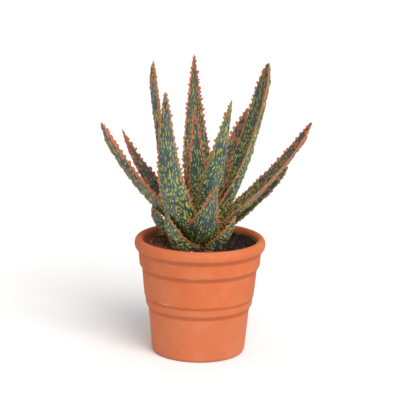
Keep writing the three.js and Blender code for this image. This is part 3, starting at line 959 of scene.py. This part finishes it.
# middle line, axes, half width and the two faces' depths, at close steps from the base to the tip
def leafShape(node, fullness, girth):
    tip, rings = leafRings(node)
    rings = rings[::-1]
    spans = [sum(np.linalg.norm(r[i] - r[i + opposite]) for r in rings) for i in range(opposite)]
    m = int(np.argmax(spans))

    def depth(column):
        return sum(np.linalg.norm(r[column] - (r[m] + r[m + opposite]) / 2) for r in rings)

    outer, inner = m + quarter, (m + opposite + quarter) % ringSize
    if depth(inner) > depth(outer):
        outer, inner = inner, outer
    middle, across, inward, half, outerDepth, innerDepth = [], [], [], [], [], []
    for r in rings:
        centre = (r[m] + r[m + opposite]) / 2
        width = np.linalg.norm(r[m + opposite] - r[m])
        x = (r[m + opposite] - r[m]) / width
        n = r[inner] - r[outer]
        n = n - x * (n @ x)
        n = n / np.linalg.norm(n)
        middle.append(centre)
        across.append(x)
        inward.append(n)
        half.append(width / 2)
        outerDepth.append(-(r[outer] - centre) @ n)
        innerDepth.append(-(r[inner] - centre) @ n)
    middle.append(tip)
    across.append(across[-1])
    inward.append(inward[-1])
    half.append(0.0)
    outerDepth.append(0.0)
    innerDepth.append(0.0)
    gaps = np.linalg.norm(np.diff(np.array(middle), axis=0), axis=1)
    stations = np.concatenate([[0], np.cumsum(gaps)])
    length = stations[-1]
    fine = np.linspace(0, length - leafLook["tipGap"], int(length / leafLook["gridStep"]))
    roots = np.array(half) ** (1 / fullness)
    shape = {
        "y": fine,
        "length": length,
        "middle": throughPoints(stations, middle, fine),
        "half": np.maximum(throughPoints(stations, roots, fine), 0) ** fullness,
        "outer": np.maximum(throughPoints(stations, outerDepth, fine), leafLook["thinnest"]),
        "inner": throughPoints(stations, innerDepth, fine),
    }
    # a plump leaf is thicker and wider over a stretch below its tip
    fromPlump = (fine / length - leafLook["plumpAt"]) / leafLook["plumpSpan"]
    plump = 1 + (girth - 1) * np.exp(-fromPlump ** 2)
    for part in ("half", "outer", "inner"):
        shape[part] = shape[part] * plump
    shape["half"] = np.maximum(shape["half"], leafLook["tipHalf"])
    along = unit(np.gradient(shape["middle"], fine, axis=0))
    x = throughPoints(stations, across, fine)
    x = unit(x - along * (x * along).sum(1, keepdims=True))
    n = throughPoints(stations, inward, fine)
    n = n - along * (n * along).sum(1, keepdims=True)
    shape["inward"] = unit(n - x * (n * x).sum(1, keepdims=True))
    shape["across"], shape["along"] = x, along
    return shape


# how large the teeth and flecks are on a short leaf, as a share of those on a full one
def leafSize(length):
    shortest = leafLook["shortSize"]
    return min(1.0, shortest + (1 - shortest) * length / leafLook["fullLength"])


# how far the teeth stand out along one margin
def toothLine(y, length, dice):
    out = np.full(len(y), leafLook["ridge"])
    bareBase, bareTip = leafLook["toothEnds"]
    baseSize, tipSize = leafLook["toothSizes"]
    baseGrowth, tipGrowth = leafLook["toothGrowth"]
    at = bareBase * length
    fine = leafSize(length)
    while at < length - bareTip:
        share = at / length
        size = min(1.0, tipSize + (1 - share) * tipGrowth) * min(1.0, baseSize + share * baseGrowth) * fine
        height = dice.uniform(*leafLook["toothHeight"]) * size
        halfWidth = dice.uniform(*leafLook["toothHalfWidth"]) * (0.5 + 0.5 * size)
        lean = np.where(y > at, *leafLook["toothLean"])
        blunt = dice.uniform(*leafLook["toothShape"])
        bump = np.clip(1 - (np.abs(y - at) / (halfWidth * lean)) ** blunt, 0, 1)
        out = np.maximum(out, leafLook["ridge"] + height * bump)
        at += 2 * halfWidth + dice.uniform(*leafLook["toothGap"]) * size
    return out


# Raised flecks on one face: a mask, a hue and a height for each point of the grid. At the base they run
# together in wavy bands across the leaf, and further out they are dashes along it.
def fleckPattern(shape, shares, innerFace, look, dice):
    y, length, half = shape["y"], shape["length"], shape["half"]
    across = shares[None, :] * half[:, None]
    mask = np.zeros((len(y), len(shares)))
    hue, lift = np.zeros_like(mask), np.zeros_like(mask)
    waveDepth, waveLength = leafLook["fleckWave"]
    crookDepth, crookLength = leafLook["fleckCrook"]
    chance, thinning, clustering = leafLook["fleckChance"]
    fatShare, fatness = leafLook["fatFlecks"]
    alongRise, alongPower = leafLook["hueAlong"]
    acrossRise, acrossPower = leafLook["hueAcross"]
    bareBase, bareTip = leafLook["fleckEnds"]
    wave = waveDepth * np.sin(y / waveLength + dice.uniform(*anyPhase))
    crook = crookDepth * np.sin(across / crookLength)
    cluster = dice.uniform(0, 100 * mm)      # where in the noise this face lies
    marks = (0, leafLook["fleckBands"], max(length, 2 * leafLook["fleckBands"]))
    fine = leafSize(length)
    at = bareBase
    while at < length - bareTip:
        share = at / length
        bands = max(0.0, 1 - at / leafLook["fleckBands"])
        spread = bands * look["banded"]
        width = float(np.interp(at, y, half))
        bow = leafLook["rowBow"] * (1 if innerFace else -1) * width * (1 - share)
        x = -width + dice.uniform(0, 1.5) * mm
        while x < width:
            spot = Vector((x, leafLook["clusterStretch"] * at, cluster))
            crowd = noise.noise(spot / leafLook["clusterSize"])
            if dice.random() < chance - thinning * share + clustering * crowd:
                place = at + bow * (x / width) ** 2
                place += dice.gauss(0, leafLook["rowScatter"]) * max(0.3, 1 - 0.5 * spread)
                halfLength = np.interp(at, marks, leafLook["fleckHalfLength"])
                halfLength *= dice.uniform(*leafLook["fleckLengths"]) * fine
                thick = dice.uniform(*leafLook["fleckHalfWidth"])
                thick *= (1 - leafLook["bandThinning"] * bands) * fine
                thick *= fatness if dice.random() < fatShare else 1
                stretch = spread * dice.uniform(0.0, 1.0) * leafLook["bandStretch"]      # across the leaf
                tone = leafLook["fleckHue"] + look["warm"] + dice.gauss(0, leafLook["hueScatter"])
                tone += alongRise * share ** alongPower + acrossRise * abs(x / width) ** acrossPower
                reach = halfLength + thick + 1 * mm
                first, last = np.searchsorted(y, [place - reach, place + reach])
                if last > first:
                    rows = slice(first, last)
                    dx = np.abs(across[rows] - x - wave[rows, None]) - stretch
                    dy = np.abs(y[rows, None] - place - crook[rows]) - halfLength
                    gap = np.hypot(np.maximum(dx, 0), np.maximum(dy, 0))
                    soft = np.clip(0.5 + (thick - gap) / leafLook["fleckEdge"], 0, 1)
                    hue[rows] = np.where(soft > mask[rows], tone, hue[rows])
                    mask[rows] = np.maximum(mask[rows], soft)
                    height = dice.uniform(*leafLook["fleckHeight"])
                    lift[rows] = np.maximum(lift[rows], soft * height * fine)
            closest, widest = leafLook["fleckSpacing"]
            gapAcross = closest + (widest - closest) * share + spread * leafLook["bandGap"]
            x += gapAcross * dice.uniform(*leafLook["fleckJitter"]) * fine ** 1.5
        closest, widest = leafLook["rowSpacing"]
        gapAlong = closest + (widest - closest) * min(1, share * leafLook["rowWidening"])
        at += gapAlong * dice.uniform(*leafLook["rowJitter"]) * fine ** 1.5
    return mask, np.clip(hue, 0, 1), lift


# The leaf as a grid of points with one ring of columns round it: its outer face, a row of teeth, its inner
# face, and the other row. Gives each point's place across the leaf, its place, and where each face lies.
def leafGrid(shape, shares, teeth):
    half, columns, bladeCount = shape["half"], len(shares), len(bladeSteps)
    marginHalf = np.minimum(leafLook["marginHalf"], leafLook["marginShare"] * half)[:, None]
    outward = 1 - np.abs(shares) ** leafLook["outerRoundness"]
    across = shares[None, :] * half[:, None]
    outerY = -shape["outer"][:, None] * outward - marginHalf * np.abs(shares) ** 3
    innerY = -shape["inner"][:, None] * (1 - shares ** 2) + marginHalf * np.abs(shares) ** 3
    x, z, hook = [], [], []
    for side, stand, faceX, faceZ in ((1, teeth[0], across, outerY),
                                      (-1, teeth[1], across[:, ::-1], innerY[:, ::-1])):
        blade = np.array(bladeSteps[::side])
        bladeX = side * (half[:, None] + stand[:, None] * blade[:, 0])
        bladeZ = marginHalf * blade[:, 1] + leafLook["toothRise"] * stand[:, None] * blade[:, 0]
        standing = stand[:, None] - leafLook["ridge"]
        x += [faceX, bladeX]
        z += [faceZ, bladeZ]
        hook += [np.zeros_like(faceX), np.broadcast_to(standing, bladeX.shape)]
    x, z, hook = np.hstack(x), np.hstack(z), np.hstack(hook)
    grid = (shape["middle"][:, None, :] + shape["across"][:, None, :] * x[:, :, None]
            + shape["inward"][:, None, :] * z[:, :, None])
    grid += shape["along"][:, None, :] * (leafLook["toothHook"] * hook)[:, :, None]
    innerStart = columns + bladeCount
    return x, grid, slice(0, columns), slice(innerStart, innerStart + columns)


# how far each point belongs to the margin, and how red the sun has made it there
def sunnedMargin(shape, x, fromEdge, teeth, sun, dice):
    y, length = shape["y"], shape["length"]
    wander = sum(np.sin(y / wave + dice.uniform(*anyPhase)) for wave in leafLook["wanderLengths"])
    band = leafLook["marginBand"] * (1 + leafLook["bandWander"] * wander)[:, None]
    margin = np.clip(0.5 + (band - fromEdge) / leafLook["marginEdge"], 0, 1)
    atTip = np.clip(1 - (length - y) / leafLook["redTip"], 0, 1)
    margin = np.maximum(margin, atTip[:, None])
    # the teeth redden first, the margin between them only towards the tip
    atBase, more = leafLook["redBetween"]
    between = atBase + more * y / length
    onTeeth = [np.clip((stand - leafLook["ridge"]) / leafLook["redTooth"], 0, 1) for stand in teeth]
    plus, minus = [share * (between + (1 - between) * tooth) for share, tooth in zip(sun, onTeeth)]
    sunned = np.where(x > 0, plus[:, None], minus[:, None])
    long, short = [np.sin(y / wave + dice.uniform(*anyPhase)) for wave in leafLook["redPatches"]]
    patches = 0.5 + 0.5 * long * short
    return margin, np.clip(sunned - leafLook["patchDepth"] * (1 - patches)[:, None], 0, 1)


# raises the flecks, and lets the face undulate a little
def raisedGrid(shape, x, grid, fromEdge, lift, dice):
    fall = np.gradient(grid, axis=0)
    turnRound = np.roll(grid, -1, axis=1) - np.roll(grid, 1, axis=1)
    normal = np.cross(turnRound, fall)
    normal /= np.maximum(np.linalg.norm(normal, axis=2, keepdims=True), 1e-12)
    halfway = len(grid) // 2
    if ((grid[halfway] - grid[halfway].mean(0)) * normal[halfway]).sum() < 0:
        normal = -normal
    swellAlong, swellAcross = leafLook["swellSizes"]
    swell = leafLook["swellHeight"] * np.sin(shape["y"] / swellAlong + dice.uniform(*anyPhase))[:, None]
    swell = swell * np.sin(x / swellAcross)
    narrow, nearEdge = leafLook["calmed"]
    calm = np.clip(shape["half"] / narrow, 0, 1)[:, None] * np.clip(fromEdge / nearEdge, 0, 1)
    return grid + normal * ((lift + swell) * calm)[:, :, None]


# The grid's points and faces, closed round the leaf and at both ends. The tip's point and the base's come
# last.
def closedSkin(grid, tipPlace):
    rows, count = grid.shape[:2]
    index = np.arange(rows * count).reshape(rows, count)
    turned = np.roll(index, -1, axis=1)
    quads = np.stack([index[:-1], turned[:-1], turned[1:], index[1:]], axis=-1).reshape(-1, 4)
    points = np.vstack([grid.reshape(-1, 3), tipPlace, grid[0].mean(0)])
    tipCap = [(int(a), int(b), rows * count) for a, b in zip(index[-1], turned[-1])]
    baseCap = [(int(b), int(a), rows * count + 1) for a, b in zip(index[0], turned[0])]
    return points, quads.tolist() + tipCap + baseCap


def makeLeaf(node, number, material):
    look = {**plainLeaf, **leafCharacter.get(node, {})}
    dice = random.Random(100 + number)
    shape = leafShape(node, look["fullness"], look["girth"])
    y, half = shape["y"], shape["half"]
    columns = max(leafLook["fewestColumns"], int(2 * half.max() / leafLook["gridStep"]))
    crowding = leafLook["crowding"]
    shares = np.sin(np.linspace(-1, 1, columns) * math.pi / 2 * crowding) / math.sin(math.pi / 2 * crowding)
    teeth = [toothLine(y, shape["length"], dice) for _ in range(2)]
    x, grid, outerAt, innerAt = leafGrid(shape, shares, teeth)

    fleck, hue, lift = np.zeros_like(x), np.zeros_like(x), np.zeros_like(x)
    for face, order in ((outerAt, shares), (innerAt, shares[::-1])):
        pattern = fleckPattern(shape, order, face is innerAt, look, dice)
        fleck[:, face], hue[:, face], lift[:, face] = pattern
    innerFace = np.zeros_like(x)
    innerFace[:, innerAt] = 1.0

    fromEdge = half[:, None] - np.abs(x)
    margin, sunned = sunnedMargin(shape, x, fromEdge, teeth, look["sun"], dice)
    grid = raisedGrid(shape, x, grid, fromEdge, lift, dice)
    points, faces = closedSkin(grid, shape["middle"][-1] + shape["along"][-1] * leafLook["tipGap"])

    def numbers(values, onTip, onBase):
        return np.concatenate([values.reshape(-1), [onTip, onBase]])

    leaf = makePiece("leaf_" + node.replace("_leaf", ""), points, faces, material, {
        "along": numbers(np.broadcast_to((y / shape["length"])[:, None], x.shape), 1, 0),
        "innerFace": numbers(innerFace, 0, 0),
        "fleck": numbers(fleck, 0, 0),
        "fleckHue": numbers(hue, 0, 0),
        "margin": numbers(margin, 1, 0),
        "sunned": numbers(sunned, look["sun"][0], 0),
    })
    return standIn(leaf, node)


skin = waxyAloeSkin()
leafNodes = sorted(name for name in frame["nodes"] if "leaf" in name)
for number, node in enumerate(leafNodes):
    makeLeaf(node, number, skin)
print("leaves made:", len(leafNodes))


# Two chips lie on the soil: a flake of composted pine bark, and a popped grain of perlite.
chipLook = {
    "bark_chip": {"material": "pine bark, composted", "pale": "#c9a983", "dark": "#6d4f33",
                  "grain": 1.1 * mm, "roughness": 0.85, "slot": "bark", "lump": 0.18},
    "perlite_grain": {"material": "perlite, popped", "pale": "#efe9dc", "dark": "#b9ad98",
                      "grain": 0.8 * mm, "roughness": 0.9, "slot": "perlite", "lump": 0.28},
}
chipSize = 0.92              # mean radius as a share of the solid's, which leaves room for the lumps


def chipMaterial(look):
    material, tree, shader = newMaterial(look["material"])
    place = addNode(tree, "ShaderNodeTexCoord").outputs["Object"]
    grain = addNode(tree, "ShaderNodeTexNoise", {
        "Vector": place, "Scale": 1 / look["grain"], "Detail": 5.0, "Roughness": 0.65})
    share = addNode(tree, "ShaderNodeMapRange", {
        "Value": grain.outputs["Fac"], "From Min": 0.4, "From Max": 0.7})
    tone = addNode(tree, "ShaderNodeMix", {
        "Factor": share.outputs["Result"],
        "A": linear(look["pale"]), "B": linear(look["dark"])}, data_type="RGBA")
    bump = addNode(tree, "ShaderNodeBump", {
        "Height": grain.outputs["Fac"], "Strength": 0.6, "Distance": 0.25 * mm})
    tree.links.new(tone.outputs["Result"], shader.inputs["Base Color"])
    tree.links.new(bump.outputs["Normal"], shader.inputs["Normal"])
    shader.inputs["Roughness"].default_value = look["roughness"]
    return material


def makeChip(node):
    look = chipLook[node]
    low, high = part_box(node)
    centre, halfSize = np.array((low + high) / 2), np.array((high - low) / 2)
    ball, faces = ballShape(4)
    rough = np.array([noise.noise(Vector(p) * 1.4) + 0.5 * noise.noise(Vector(p) * 3.3) for p in ball])
    shaped = ball * (chipSize + look["lump"] * rough)[:, None]
    shaped = shaped * halfSize + centre
    return standIn(makePiece(node + "_piece", shaped, faces, chipMaterial(look)), node)


for node in chipLook:
    makeChip(node)
print("chips made")
